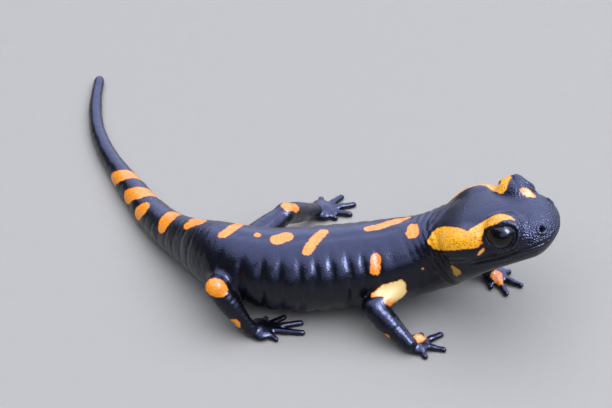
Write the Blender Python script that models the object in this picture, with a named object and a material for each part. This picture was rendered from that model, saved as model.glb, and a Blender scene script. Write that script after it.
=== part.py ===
"""A young fire salamander standing with its head raised and its tail laid out: a still, life-size model.

The body is one loft along a curved spine, parted by thin cuts into head, neck, trunk and tail. The
limbs are tapered tubes, trimmed where they meet the body and each other. All sizes below are in
millimetres. +X runs along the animal's length, +Y to its left and +Z up, with the floor at Z = 0.
"""

import math

import bmesh
import bpy
import numpy as np
from mathutils import Vector

MM = 0.001
CUT = 0.3  # width of the thin cut between two neighbouring solids
MERGE = 0.002  # points nearer than this become one

# Places along the spine, measured back from the snout.
EYE_AT = 6.8
JAW_HINGE_AT = 11.5
HEAD_END = 17.6
SHOULDER_AT = 24.0
CHEST_END = 31.0
BELLY_END = 43.5
HIP_AT = 50.3
TRUNK_END = 55.0
TAIL_CUTS = (65.0, 77.0, 90.0)
LENGTH = 105.0
HIP_PLACE = (-12.6, -16.7)


def profile(*knots):
    """A smooth curve through (place, value) knots that never swings past them."""
    x, y = np.array(knots, float).T
    step = np.diff(x)
    slope = np.diff(y) / step
    lean = np.concatenate([slope[:1], np.zeros(len(x) - 2), slope[-1:]])
    for i in range(1, len(x) - 1):
        if slope[i - 1] * slope[i] > 0:
            before, after = 2 * step[i] + step[i - 1], step[i] + 2 * step[i - 1]
            lean[i] = (before + after) / (before / slope[i - 1] + after / slope[i])

    def curve(at):
        at = np.clip(at, x[0], x[-1])
        i = np.clip(np.searchsorted(x, at, "right") - 1, 0, len(step) - 1)
        t = (at - x[i]) / step[i]
        start = y[i] * (1 + 2 * t) + lean[i] * step[i] * t
        end = y[i + 1] * (3 - 2 * t) + lean[i + 1] * step[i] * (t - 1)
        return start * (1 - t) ** 2 + end * t**2

    return curve


# The spine's course: which way it heads (degrees from +X), its height, and how far it rolls.
HEADING = profile(
    (0, -14), (14, -14), (20, -3), (25, 6), (33, 5), (40, 0), (45, -12), (50, -36),
    (54, -46), (59, -50), (65, -57), (72, -62), (81, -64), (90, -75), (99, -91), (105, -96),
)
ROLL = profile((0, 0), (16, 0), (26, 0), (105, 0))
HEIGHT = profile(
    (0, 17.6), (4, 16.9), (8, 15.8), (12, 14.3), (16, 12.2), (20, 10.1), (24, 8.6), (30, 7.5), (38, 6.9),
    (46, 6.7), (51, 6.3), (56, 5.1), (62, 3.6), (69, 2.35),
)

# The section's half width, its reach above and below the spine, and how square its corners are.
HALF_WIDTH = profile(
    (0, 3.9), (2, 4.6), (5, 5.5), (9, 6.1), (13, 6.4), (17, 5.6), (20, 5.0), (24, 5.5),
    (30, 6.0), (38, 6.2), (44, 5.8), (49, 5.3), (53, 4.4), (58, 3.4), (65, 2.7),
    (74, 2.1), (82, 1.55), (92, 1.15), (100, 0.95), (105, 0.8),
)
ABOVE = profile(
    (0, 2.2), (2, 2.8), (5, 3.5), (9, 4.1), (13, 4.0), (17, 3.9), (20, 4.3), (24, 4.9),
    (30, 5.4), (38, 5.6), (44, 5.6), (49, 5.6), (53, 4.9), (58, 3.8), (65, 2.75),
    (74, 2.2), (82, 1.65), (92, 1.25), (100, 1.0), (105, 0.85),
)
BELOW = profile(
    (0, 2.3), (2, 2.95), (5, 3.55), (9, 4.3), (13, 5.0), (17, 5.9), (20, 6.6), (24, 6.6),
    (30, 5.7), (38, 5.9), (44, 5.6), (49, 4.8), (53, 3.9), (58, 3.0), (65, 2.45),
    (74, 2.05), (82, 1.55), (92, 1.2), (100, 1.0), (105, 0.85),
)
SQUARE_ABOVE = profile((0, 2.3), (5, 2.6), (14, 2.6), (20, 2.2), (38, 2.1), (60, 2.0))
SQUARE_BELOW = profile((0, 2.6), (4, 3.0), (12, 3.3), (18, 2.8), (24, 2.3), (38, 2.1), (60, 2.0))
SNOUT_ROUND = 3.4  # length over which the snout rounds off
TIP_ROUND = 1.6
FLOOR_SINK = 0.12  # how far a resting piece is pressed flat by the floor

MOUTH_UP = profile((0, -0.1), (3, -0.3), (6, -0.9), (9, -1.0), (12, -0.8))

EYE_RADIUS = 2.25
EYE_SIDE, EYE_UP = 4.45, 2.45
LID_AT = 6.5
LID_RADIUS = 2.8
LID_SIDE, LID_UP = 3.9, 2.2
GLAND_AT, GLAND_SIDE, GLAND_UP = 12.2, 4.75, 1.55
GLAND_SIZE = (3.9, 1.9, 2.3)


def spine_samples():
    """Points every quarter millimetre along the spine, with its forward direction at each."""
    along = np.linspace(0, LENGTH, int(LENGTH * 4) + 1)
    resting = BELOW(along) - FLOOR_SINK
    height = np.where(along < 69, np.maximum(HEIGHT(along), resting), resting)
    rise = -np.gradient(height, along)
    level = np.sqrt(np.maximum(1 - rise**2, 0.2))
    turn = np.radians(HEADING(along))
    forward = np.stack([np.cos(turn) * level, np.sin(turn) * level, rise], 1)
    gap = np.diff(along)[:, None]
    back = np.cumsum(-(forward[1:] + forward[:-1]) / 2 * gap, axis=0)
    points = np.vstack([np.zeros(3), back])
    hip = np.searchsorted(along, HIP_AT)
    points[:, :2] += np.array(HIP_PLACE) - points[hip, :2]
    points[:, 2] = height
    return along, points, forward


ALONG, SPINE, FORWARD = spine_samples()


def spine(at):
    """The spine's point, and its forward, left and up directions, at a distance from the snout."""
    at = np.atleast_1d(at)
    point = np.stack([np.interp(at, ALONG, SPINE[:, i]) for i in range(3)], 1)
    forward = np.stack([np.interp(at, ALONG, FORWARD[:, i]) for i in range(3)], 1)
    forward /= np.linalg.norm(forward, axis=1, keepdims=True)
    left = np.cross([0, 0, 1], forward)
    left /= np.linalg.norm(left, axis=1, keepdims=True)
    up = np.cross(forward, left)
    roll = np.radians(ROLL(at))[:, None]
    return point, forward, left * np.cos(roll) + up * np.sin(roll), up * np.cos(roll) - left * np.sin(roll)


def place(at, side, up):
    """A point given by its distance from the snout, its distance to the left and its height over the spine."""
    point, _, left, upward = spine(at)
    return (point + left * side + upward * up)[0]


def end_round(at):
    """How much the section shrinks towards the snout and the tail's tip: a rounded end at each."""
    nose = np.clip(1 - at / SNOUT_ROUND, 0, 1)
    tip = np.clip(1 - (LENGTH - at) / TIP_ROUND, 0, 1)
    return np.sqrt(np.maximum(1 - nose**2.3, 0)) * np.sqrt(np.maximum(1 - tip**2, 0))


def ball_gap(along, side, up, centre, size):
    """How far a point is outside a ball with three radii, along the line to its centre."""
    away = np.stack(np.broadcast_arrays(along - centre[0], side - centre[1], up - centre[2]), -1)
    share = np.maximum(np.linalg.norm(away / np.array(size), axis=-1), 1e-6)
    return np.linalg.norm(away, axis=-1) * (1 - 1 / share)


def blend(a, b, softness):
    """The smaller of two gaps, with a soft valley where they are alike."""
    share = np.clip(0.5 + 0.5 * (b - a) / softness, 0, 1)
    return b + (a - b) * share - softness * share * (1 - share)


def section_gap(at, side, up, grow):
    """How far a point is outside the body's plain section."""
    round_off = np.maximum(end_round(at), 1e-4)
    power = np.where(up > 0, SQUARE_ABOVE(at), SQUARE_BELOW(at))
    wide = HALF_WIDTH(at) * round_off + grow
    tall = np.where(up > 0, ABOVE(at), BELOW(at)) * round_off + grow
    reach = (np.abs(side / wide) ** power + np.abs(up / tall) ** power) ** (1 / power)
    return np.hypot(side, up) * (1 - 1 / np.maximum(reach, 1e-6))


def body_gap(at, side, up, grow=0.0):
    """How far a point is outside the body with its lids and its neck glands."""
    gap = section_gap(at, side, up, grow)
    for hand in (-1, 1):
        lid = ball_gap(at, side, up, (LID_AT, hand * LID_SIDE, LID_UP), [LID_RADIUS + grow] * 3)
        gland_size = [size + grow for size in GLAND_SIZE]
        gland = ball_gap(at, side, up, (GLAND_AT, hand * GLAND_SIDE, GLAND_UP), gland_size)
        gap = blend(blend(gap, lid, 0.7), gland, 1.2)
    return gap


def ring(at, sides, grow=0.0):
    """The body's outline across the spine at one place, as points in space."""
    angle = np.linspace(0, 2 * math.pi, sides, endpoint=False)
    side_way, up_way = -np.sin(angle), np.cos(angle)
    reach = np.full(sides, 12.0)
    for _ in range(60):
        reach -= 0.8 * body_gap(at, side_way * reach, up_way * reach, grow)
    point, _, left, up = spine(at)
    return point + left * (side_way * reach)[:, None] + up * (up_way * reach)[:, None]


# Limb joints (X, Y, Z) with the thickness along each length, and each palm's place and pointing
# in plan with the direction and reach of its fingers or toes (degrees from the palm's, millimetres).
ARM_RADII = profile((0, 2.1), (0.45, 1.85), (0.8, 1.65), (1, 1.6))
FOREARM_RADII = profile((0, 1.6), (0.3, 1.75), (0.7, 1.4), (1, 1.1))
THIGH_RADII = profile((0, 2.2), (0.5, 1.95), (0.85, 1.6), (1, 1.5))
SHANK_RADII = profile((0, 1.5), (0.35, 1.6), (0.75, 1.25), (1, 1.05))
DIGIT_RADII = profile((0, 0.6), (0.35, 0.5), (0.8, 0.52), (1, 0.44))
FLOOR_DEPTH = 4.0

LIMBS = {
    "right_arm": {
        "joints": [(12.7, -22.0, 6.8), (8.7, -26.0, 5.3), (13.6, -29.4, 1.6)],
        "radii": (ARM_RADII, FOREARM_RADII),
        "body_room": "shoulder_room",
        "names": ("upper_arm_right", "forearm_right", "hand_right"),
        "palm": (14.8, -28.7, 5),
        "width": 1.9,
        "digits": [(66, 2.7), (28, 4.7), (-16, 4.3), (-66, 2.8)],
    },
    "left_arm": {
        "joints": [(13.5, -15.2, 7.6), (19.5, -10.6, 6.0), (25.5, -13.9, 1.7)],
        "radii": (ARM_RADII, FOREARM_RADII),
        "body_room": "shoulder_room",
        "names": ("upper_arm_left", "forearm_left", "hand_left"),
        "palm": (26.6, -14.3, -18),
        "width": 1.9,
        "digits": [(-88, 2.7), (-48, 4.3), (-8, 4.6), (42, 2.8)],
    },
    "right_leg": {
        "joints": [(-11.7, -19.1, 6.4), (-13.7, -24.5, 7.9), (-9.0, -26.3, 1.6)],
        "radii": (THIGH_RADII, SHANK_RADII),
        "body_room": "hip_room",
        "names": ("thigh_right", "shank_right", "foot_right"),
        "palm": (-7.6, -25.6, 8),
        "width": 2.2,
        "digits": [(62, 3.0), (30, 4.9), (7, 6.6), (-12, 6.6), (-44, 3.4)],
    },
    "left_leg": {
        "joints": [(-10.1, -14.5, 6.2), (-4.0, -7.7, 6.8), (0.3, -1.2, 1.6)],
        "radii": (THIGH_RADII, SHANK_RADII),
        "body_room": "hip_room",
        "names": ("thigh_left", "shank_left", "foot_left"),
        "palm": (1.3, -0.2, 14),
        "width": 2.2,
        "digits": [(-48, 3.0), (-22, 4.8), (4, 5.6), (32, 4.9), (74, 3.2)],
    },
}


def new_mesh_object(name, fill, collection, origin=(0, 0, 0)):
    """An object whose mesh is filled in by a function that is given a bmesh, with its origin at a point."""
    form = bmesh.new()
    fill(form)
    bmesh.ops.remove_doubles(form, verts=form.verts, dist=MERGE * MM)
    bmesh.ops.recalc_face_normals(form, faces=form.faces)
    bmesh.ops.translate(form, verts=form.verts, vec=-Vector(origin) * MM)
    mesh = bpy.data.meshes.new(name)
    form.to_mesh(mesh)
    form.free()
    made = bpy.data.objects.new(name, mesh)
    made.location = Vector(origin) * MM
    collection.objects.link(made)
    return made


def loft(form, rings):
    """Skins a row of rings of like count into a closed body with flat ends."""
    rows = [[form.verts.new(Vector(p) * MM) for p in row] for row in rings]
    for near, far in zip(rows, rows[1:]):
        for i, corner in enumerate(near):
            form.faces.new((corner, near[i - 1], far[i - 1], far[i]))
    form.faces.new(rows[0])
    form.faces.new(reversed(rows[-1]))


def body_rings(start, end, spacing, sides, grow=0.0):
    """The outlines of one length of the body, its front end set back by the thin cut."""
    if start <= 0:
        nose = SNOUT_ROUND * (1 - np.cos(np.linspace(0.16, math.pi / 2, 7)))
        rest = np.linspace(SNOUT_ROUND, end, round((end - SNOUT_ROUND) / spacing) + 1)
        return [ring(at, sides, grow) for at in np.concatenate([nose, rest[1:]])]
    places = np.linspace(start, end, round((end - start) / spacing) + 1)
    if end >= LENGTH:
        tip = LENGTH - TIP_ROUND * (1 - np.cos(np.linspace(math.pi / 2, 0.2, 4)))
        places = np.concatenate([np.linspace(start, tip[0], len(places))[:-1], tip])
    rings = [ring(at, sides, grow) for at in places]
    rings[0] = rings[0] - spine(start)[1] * CUT
    return rings


def tube_rings(start, end, radii, sides, rows, grow=0.0, round_start=True):
    """Rings of a straight tapered limb with rounded ends."""
    start, end = Vector(start), Vector(end)
    way = (end - start).normalized()
    across = way.cross(Vector((0, 0, 1))).normalized()
    over = across.cross(way)
    length = (end - start).length
    near, far = float(radii(0.0)) + grow, float(radii(1.0)) + grow
    dome = [math.radians(a) for a in (18, 52)]
    stops = [(-near * math.cos(a), near * math.sin(a)) for a in dome] if round_start else []
    stops += [(length * t, float(radii(t)) + grow) for t in np.linspace(0, 1, rows)]
    stops += [(length + far * math.cos(a), far * math.sin(a)) for a in reversed(dome)]
    turns = [2 * math.pi * i / sides for i in range(sides)]
    return [
        [start + way * along + (across * math.cos(a) + over * math.sin(a)) * r for a in turns]
        for along, r in stops
    ]


def palm_rings(wrist, palm, width, sides):
    """Rings of a palm or sole: round at the wrist, then broad and flat towards the toes."""
    wrist, middle = Vector(wrist), Vector((palm[0], palm[1], 0))
    turn = math.radians(palm[2])
    ahead = Vector((math.cos(turn), math.sin(turn), 0))
    stops = [
        (wrist, 0.85, 0.85),
        (wrist.lerp(middle + Vector((0, 0, 0.9)), 0.5) - ahead * 0.1, 1.1, 0.95),
        (middle + Vector((0, 0, 0.78)), width, 0.86),
        (middle + ahead * 0.9 + Vector((0, 0, 0.6)), width * 0.94, 0.66),
        (middle + ahead * 1.5 + Vector((0, 0, 0.5)), width * 0.6, 0.46),
    ]
    rings = []
    for i, (centre, wide, tall) in enumerate(stops):
        before, after = stops[max(i - 1, 0)][0], stops[min(i + 1, len(stops) - 1)][0]
        way = (after - before).normalized()
        left = Vector((0, 0, 1)).cross(way).normalized()
        up = way.cross(left)
        turns = [2 * math.pi * k / sides for k in range(sides)]
        rings.append([centre - left * math.sin(a) * wide + up * math.cos(a) * tall for a in turns])
    return rings


def digit_rings(palm, direction, reach, sides):
    """Rings of one finger or toe, from inside the palm to its tip on the floor."""
    turn = math.radians(palm[2] + direction)
    way = Vector((math.cos(turn), math.sin(turn), 0))
    middle = Vector((palm[0], palm[1], 0))
    start = middle + way * 0.6 + Vector((0, 0, 0.66))
    end = middle + way * (reach - 0.4) + Vector((0, 0, 0.4))
    return tube_rings(start, end, DIGIT_RADII, sides, 3, round_start=False)


def jaw_block_rings(shift):
    """Rings of the block that parts the lower jaw, its top and back faces moved by a shift."""
    stops = [(0.0, 2.0), (3.0, 0.0), (6.0, 0.0), (8.5, 0.0), (JAW_HINGE_AT, -shift)]
    rings = []
    for at, ahead in stops:
        point, forward, left, up = (v[0] for v in spine(at))
        top = float(MOUTH_UP(at)) + shift
        middle = point + forward * ahead
        corners = [(-9, top), (9, top), (9, -9), (-9, -9)]
        rings.append([middle + left * side + up * height for side, height in corners])
    return rings


def ball(form, centre, radius, around, down):
    """A round ball about a point."""
    bmesh.ops.create_uvsphere(form, u_segments=around, v_segments=down, radius=radius * MM)
    bmesh.ops.translate(form, verts=form.verts, vec=Vector(centre) * MM)


def box(form, low, high):
    """A plain block between two corners."""
    bmesh.ops.create_cube(form, size=1.0)
    low, high = Vector(low) * MM, Vector(high) * MM
    for corner in form.verts:
        corner.co = [(low[i] + high[i]) / 2 + corner.co[i] * (high[i] - low[i]) for i in range(3)]


def cut(target, cutter, how="DIFFERENCE"):
    """Trims an object by a cutter, or joins the cutter to it."""
    trim = target.modifiers.new(f"{how.lower()} {cutter.name}", "BOOLEAN")
    trim.operation = how
    trim.solver = "EXACT"
    trim.object = cutter


def coat(target, colour, roughness):
    """Gives an object its own material, named after it."""
    look = bpy.data.materials.new(f"{target.name}_surface")
    look.use_nodes = True
    surface = look.node_tree.nodes["Principled BSDF"]
    surface.inputs["Base Color"].default_value = (*colour, 1.0)
    surface.inputs["Roughness"].default_value = roughness
    target.data.materials.append(look)


SKIN_BLACK = (0.012, 0.012, 0.016)
EYE_BLACK = (0.006, 0.004, 0.003)


def build_body(parts, cutters, floor):
    """Head, jaw, eyes, neck, trunk and tail."""
    head_rings = body_rings(0, HEAD_END, 0.68, 28)
    head = new_mesh_object("head", lambda form: loft(form, head_rings), parts, place(HEAD_END, 0, 0))
    jaw_origin = place(JAW_HINGE_AT, 0, float(MOUTH_UP(JAW_HINGE_AT)))
    jaw = new_mesh_object("lower_jaw", lambda form: loft(form, head_rings), parts, jaw_origin)
    upper_block = new_mesh_object("jaw_room", lambda form: loft(form, jaw_block_rings(CUT)), cutters)
    jaw_block = new_mesh_object("jaw_block", lambda form: loft(form, jaw_block_rings(0.0)), cutters)
    cut(head, upper_block)
    cut(jaw, jaw_block, "INTERSECT")
    for hand, side in (("left", 1), ("right", -1)):
        centre = place(EYE_AT, side * EYE_SIDE, EYE_UP)
        eye = new_mesh_object(
            f"eye_{hand}", lambda form: ball(form, centre, EYE_RADIUS, 18, 9), parts, centre
        )
        coat(eye, EYE_BLACK, 0.1)
        socket = new_mesh_object(
            f"socket_{hand}", lambda form: ball(form, centre, EYE_RADIUS + CUT, 18, 12), cutters
        )
        cut(head, socket)
    lengths = [
        ("neck", HEAD_END, SHOULDER_AT, 1.2, 28),
        ("trunk_front", SHOULDER_AT, CHEST_END, 1.5, 28),
        ("trunk_middle", CHEST_END, BELLY_END, 1.8, 28),
        ("trunk_rear", BELLY_END, TRUNK_END, 1.45, 26),
        ("tail_base", TRUNK_END, TAIL_CUTS[0], 1.7, 20),
        ("tail_front", TAIL_CUTS[0], TAIL_CUTS[1], 2.0, 16),
        ("tail_middle", TAIL_CUTS[1], TAIL_CUTS[2], 2.2, 14),
        ("tail_tip", TAIL_CUTS[2], LENGTH, 2.2, 14),
    ]
    made = {"head": head, "lower_jaw": jaw}
    for name, start, end, spacing, sides in lengths:
        rings = body_rings(start, end, spacing, sides)
        made[name] = new_mesh_object(name, lambda form: loft(form, rings), parts, place(start, 0, 0))
    for name in ("tail_base", "tail_front", "tail_middle", "tail_tip"):
        cut(made[name], floor)
    for piece in made.values():
        coat(piece, SKIN_BLACK, 0.35)


def build_limb(limb, parts, cutters, floor):
    """One limb: two tapered lengths and a hand or foot, each trimmed where it meets the next."""
    root, middle, end = limb["joints"]
    upper_name, lower_name, foot_name = limb["names"]
    upper_radii, lower_radii = limb["radii"]

    def tube(name, start, stop, radii, home, grow=0.0):
        rings = tube_rings(start, stop, radii, 12, 4, grow)
        return new_mesh_object(name, lambda form: loft(form, rings), home, start)

    upper = tube(upper_name, root, middle, upper_radii, parts)
    cut(upper, bpy.data.objects[limb["body_room"]])
    lower = tube(lower_name, middle, end, lower_radii, parts)
    cut(lower, tube(f"{upper_name}_room", root, middle, upper_radii, cutters, CUT))
    foot = new_mesh_object(
        foot_name, lambda form: loft(form, palm_rings(end, limb["palm"], limb["width"], 14)), parts, end
    )
    for i, (direction, reach) in enumerate(limb["digits"]):
        rings = digit_rings(limb["palm"], direction, reach, 7)
        digit = new_mesh_object(f"{foot_name}_digit_{i + 1}", lambda form: loft(form, rings), cutters)
        cut(foot, digit, "UNION")
    cut(foot, tube(f"{lower_name}_room", middle, end, lower_radii, cutters, CUT))
    cut(foot, floor)
    for piece in (upper, lower, foot):
        coat(piece, SKIN_BLACK, 0.35)


def main():
    """Builds every solid of the model."""
    for old in list(bpy.data.objects):
        bpy.data.objects.remove(old)
    parts = bpy.data.collections.new("fire_salamander")
    cutters = bpy.data.collections.new("cutters")
    for collection in (parts, cutters):
        bpy.context.scene.collection.children.link(collection)
    floor = new_mesh_object("floor_block", lambda form: box(form, (-60, -60, -FLOOR_DEPTH), (60, 60, 0)), cutters)
    rooms = (("shoulder_room", 15.0, 34.0), ("hip_room", 41.0, 62.0))
    for name, start, end in rooms:
        rings = body_rings(start, end, 1.2, 28, CUT)
        new_mesh_object(name, lambda form: loft(form, rings), cutters)
    build_body(parts, cutters, floor)
    for limb in LIMBS.values():
        build_limb(limb, parts, cutters, floor)
    for cutter in cutters.objects:
        cutter.hide_render = True
        cutter.display_type = "WIRE"


main()
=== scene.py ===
"""The looks of a young fire salamander: one wet skin over the whole body, two glossy eyes, a plain studio.

Sizes are in millimetres until a mesh is written, which is in metres. A place on the body is told by
how far it lies behind the snout along the spine, and by its side and its height over the spine there.
"""

import math

import bmesh
import bpy
import numpy as np
from bpy.props import FloatProperty, FloatVectorProperty, PointerProperty
from mathutils import Matrix, Vector


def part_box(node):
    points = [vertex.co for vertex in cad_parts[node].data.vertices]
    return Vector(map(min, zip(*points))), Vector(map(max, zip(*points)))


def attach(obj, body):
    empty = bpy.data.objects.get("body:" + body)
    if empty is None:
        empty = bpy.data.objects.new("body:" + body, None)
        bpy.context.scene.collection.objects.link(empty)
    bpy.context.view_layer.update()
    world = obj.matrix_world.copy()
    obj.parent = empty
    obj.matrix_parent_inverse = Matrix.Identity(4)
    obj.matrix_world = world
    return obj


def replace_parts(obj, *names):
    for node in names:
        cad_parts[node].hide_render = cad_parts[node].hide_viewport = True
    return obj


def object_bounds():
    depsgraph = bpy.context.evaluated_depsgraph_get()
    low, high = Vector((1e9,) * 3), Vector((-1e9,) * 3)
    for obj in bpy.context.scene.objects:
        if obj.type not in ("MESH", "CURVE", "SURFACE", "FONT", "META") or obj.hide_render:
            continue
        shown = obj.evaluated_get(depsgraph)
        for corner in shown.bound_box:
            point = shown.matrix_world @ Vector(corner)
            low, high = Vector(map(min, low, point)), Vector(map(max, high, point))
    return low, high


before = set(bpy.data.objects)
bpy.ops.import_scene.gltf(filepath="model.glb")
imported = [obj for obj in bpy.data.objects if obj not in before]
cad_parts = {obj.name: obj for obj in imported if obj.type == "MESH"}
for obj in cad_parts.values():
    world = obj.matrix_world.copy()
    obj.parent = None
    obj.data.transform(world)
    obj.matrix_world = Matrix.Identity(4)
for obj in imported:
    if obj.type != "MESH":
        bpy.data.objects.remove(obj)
CAD_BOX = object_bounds()

bl_info = {
    "name": "Fire Salamander Figure",
    "version": (1, 0, 0),
    "blender": (4, 5, 0),
    "location": "View3D > Sidebar > Salamander",
    "description": "Makes the skin, the eyes and the studio of a life-size fire salamander",
    "category": "Object",
}

MM = 0.001

# ---------------- the body's measures

EYE_AT = 6.8
JAW_CORNER_AT = 11.3
HIP_AT = 50.3
LENGTH = 105.0
HIP_PLACE = (-12.6, -16.7)
TAIL_RESTS_AT = 69.0  # from here to its tip the tail lies on the floor


def profile(*knots):
    """A smooth curve through (place, value) knots that never swings past them."""
    x, y = np.array(knots, float).T
    step = np.diff(x)
    slope = np.diff(y) / step
    lean = np.concatenate([slope[:1], np.zeros(len(x) - 2), slope[-1:]])
    for i in range(1, len(x) - 1):
        if slope[i - 1] * slope[i] > 0:
            before, after = 2 * step[i] + step[i - 1], step[i] + 2 * step[i - 1]
            lean[i] = (before + after) / (before / slope[i - 1] + after / slope[i])

    def curve(at):
        at = np.clip(at, x[0], x[-1])
        i = np.clip(np.searchsorted(x, at, "right") - 1, 0, len(step) - 1)
        t = (at - x[i]) / step[i]
        start = y[i] * (1 + 2 * t) + lean[i] * step[i] * t
        end = y[i + 1] * (3 - 2 * t) + lean[i + 1] * step[i] * (t - 1)
        return start * (1 - t) ** 2 + end * t**2

    return curve


# The spine's course: which way it heads (degrees from +X) and its height.
HEADING = profile(
    (0, -14), (14, -14), (20, -3), (25, 6), (33, 5), (40, 0), (45, -12), (50, -36),
    (54, -46), (59, -50), (65, -57), (72, -62), (81, -64), (90, -75), (99, -91), (105, -96),
)
HEIGHT = profile(
    (0, 17.6), (4, 16.9), (8, 15.8), (12, 14.3), (16, 12.2), (20, 10.1), (24, 8.6), (30, 7.5), (38, 6.9),
    (46, 6.7), (51, 6.3), (56, 5.1), (62, 3.6), (TAIL_RESTS_AT, 2.35),
)

# The section's half width, its reach above and below the spine, and how square its corners are.
HALF_WIDTH = profile(
    (0, 3.9), (2, 4.6), (5, 5.5), (9, 6.1), (13, 6.4), (17, 5.6), (20, 5.0), (24, 5.5),
    (30, 6.0), (38, 6.2), (44, 5.8), (49, 5.3), (53, 4.4), (58, 3.4), (65, 2.7),
    (74, 2.1), (82, 1.55), (92, 1.15), (100, 0.95), (105, 0.8),
)
ABOVE = profile(
    (0, 2.2), (2, 2.8), (5, 3.5), (9, 4.1), (13, 4.0), (17, 3.9), (20, 4.3), (24, 4.9),
    (30, 5.4), (38, 5.6), (44, 5.6), (49, 5.6), (53, 4.9), (58, 3.8), (65, 2.75),
    (74, 2.2), (82, 1.65), (92, 1.25), (100, 1.0), (105, 0.85),
)
BELOW = profile(
    (0, 2.3), (2, 2.95), (5, 3.55), (9, 4.3), (13, 5.0), (17, 5.9), (20, 6.6), (24, 6.6),
    (30, 5.7), (38, 5.9), (44, 5.6), (49, 4.8), (53, 3.9), (58, 3.0), (65, 2.45),
    (74, 2.05), (82, 1.55), (92, 1.2), (100, 1.0), (105, 0.85),
)
SQUARE_ABOVE = profile((0, 2.3), (5, 2.6), (14, 2.6), (20, 2.2), (38, 2.1), (60, 2.0))
SQUARE_BELOW = profile((0, 2.6), (4, 3.0), (12, 3.3), (18, 2.8), (24, 2.3), (38, 2.1), (60, 2.0))
SNOUT_ROUND = 3.4
TIP_ROUND = 1.6
FLOOR_SINK = 0.12

# The domes over the eyes and the glands behind them: place, radii and how softly each blends in.
LID_AT, LID_RADIUS = 6.5, 2.8
GLAND_AT, GLAND_SIDE, GLAND_UP = 12.2, 4.75, 1.55
HEAD_DOMES = (
    (LID_AT, 3.9, 2.2, (LID_RADIUS,) * 3, 0.7),
    (GLAND_AT, GLAND_SIDE, GLAND_UP, (3.9, 1.9, 2.3), 1.2),
)
MOUTH_UP = profile((0, 0.0), (2, 0.12), (4.2, 0.05), (6, -0.35), (8, -0.75), (12, -0.85))

# Limb joints with the thickness along each length, and each palm with its fingers or toes.
ARM_RADII = profile((0, 2.1), (0.45, 1.85), (0.8, 1.65), (1, 1.6))
FOREARM_RADII = profile((0, 1.6), (0.3, 1.75), (0.7, 1.4), (1, 1.1))
THIGH_RADII = profile((0, 2.2), (0.5, 1.95), (0.85, 1.6), (1, 1.5))
SHANK_RADII = profile((0, 1.5), (0.35, 1.6), (0.75, 1.25), (1, 1.05))
WRIST_RADII = profile((0, 0.92), (1, 0.8))
DIGIT_RADII = profile((0, 0.6), (0.3, 0.47), (0.55, 0.53), (0.75, 0.46), (1, 0.44))
PALM_LENGTH, PALM_UP = 1.75, 0.7
DIGIT_ROOT_UP, DIGIT_TIP_UP = 0.66, 0.4

LIMBS = {
    "right arm": {
        "joints": [(12.7, -22.0, 6.8), (8.7, -26.0, 5.3), (13.6, -29.4, 1.6)],
        "radii": (ARM_RADII, FOREARM_RADII),
        "palm": (14.8, -28.7, 5),
        "width": 1.9,
        "digits": [(66, 2.7), (28, 4.7), (-16, 4.3), (-66, 2.8)],
    },
    "left arm": {
        "joints": [(13.5, -15.2, 7.6), (19.5, -10.6, 6.0), (25.5, -13.9, 1.7)],
        "radii": (ARM_RADII, FOREARM_RADII),
        "palm": (26.6, -14.3, -18),
        "width": 1.9,
        "digits": [(-88, 2.7), (-48, 4.3), (-8, 4.6), (42, 2.8)],
    },
    "right leg": {
        "joints": [(-11.7, -19.1, 6.4), (-13.7, -24.5, 7.9), (-9.0, -26.3, 1.6)],
        "radii": (THIGH_RADII, SHANK_RADII),
        "palm": (-7.6, -25.6, 8),
        "width": 2.2,
        "digits": [(62, 3.0), (30, 4.9), (7, 6.6), (-12, 6.6), (-44, 3.4)],
    },
    "left leg": {
        "joints": [(-10.1, -14.5, 6.2), (-4.0, -7.7, 6.8), (0.3, -1.2, 1.6)],
        "radii": (THIGH_RADII, SHANK_RADII),
        "palm": (1.3, -0.2, 14),
        "width": 2.2,
        "digits": [(-48, 3.0), (-22, 4.8), (4, 5.6), (32, 4.9), (74, 3.2)],
    },
}


def spine_samples():
    """Points every quarter millimetre along the spine, with its forward direction at each."""
    along = np.linspace(0, LENGTH, int(LENGTH * 4) + 1)
    resting = BELOW(along) - FLOOR_SINK
    height = np.where(along < TAIL_RESTS_AT, np.maximum(HEIGHT(along), resting), resting)
    rise = -np.gradient(height, along)
    level = np.sqrt(np.maximum(1 - rise**2, 0.2))
    turn = np.radians(HEADING(along))
    forward = np.stack([np.cos(turn) * level, np.sin(turn) * level, rise], 1)
    gap = np.diff(along)[:, None]
    back = np.cumsum(-(forward[1:] + forward[:-1]) / 2 * gap, axis=0)
    points = np.vstack([np.zeros(3), back])
    hip = np.searchsorted(along, HIP_AT)
    points[:, :2] += np.array(HIP_PLACE) - points[hip, :2]
    points[:, 2] = height
    return along, points, forward


ALONG, SPINE, FORWARD = spine_samples()


def spine(at):
    """The spine's point, and its forward, left and up directions; it runs straight on past both ends."""
    at = np.atleast_1d(at).astype(float)
    inside = np.clip(at, 0, LENGTH)
    point = np.stack([np.interp(inside, ALONG, SPINE[:, i]) for i in range(3)], 1)
    forward = np.stack([np.interp(inside, ALONG, FORWARD[:, i]) for i in range(3)], 1)
    forward /= np.linalg.norm(forward, axis=1, keepdims=True)
    left = np.stack([-forward[:, 1], forward[:, 0], np.zeros(len(at))], 1)
    left /= np.linalg.norm(left, axis=1, keepdims=True)
    return point + forward * (inside - at)[:, None], forward, left, np.cross(forward, left)


def nearest_along(points):
    """A first guess, to a millimetre, of where each point lies along the spine."""
    stops = SPINE[::4]
    best = np.zeros(len(points), int)
    batch = 20000  # keeps the table of distances small
    for start in range(0, len(points), batch):
        away = points[start : start + batch, None, :] - stops[None]
        best[start : start + batch] = np.einsum("ijk,ijk->ij", away, away).argmin(1)
    return ALONG[::4][best]


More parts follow.
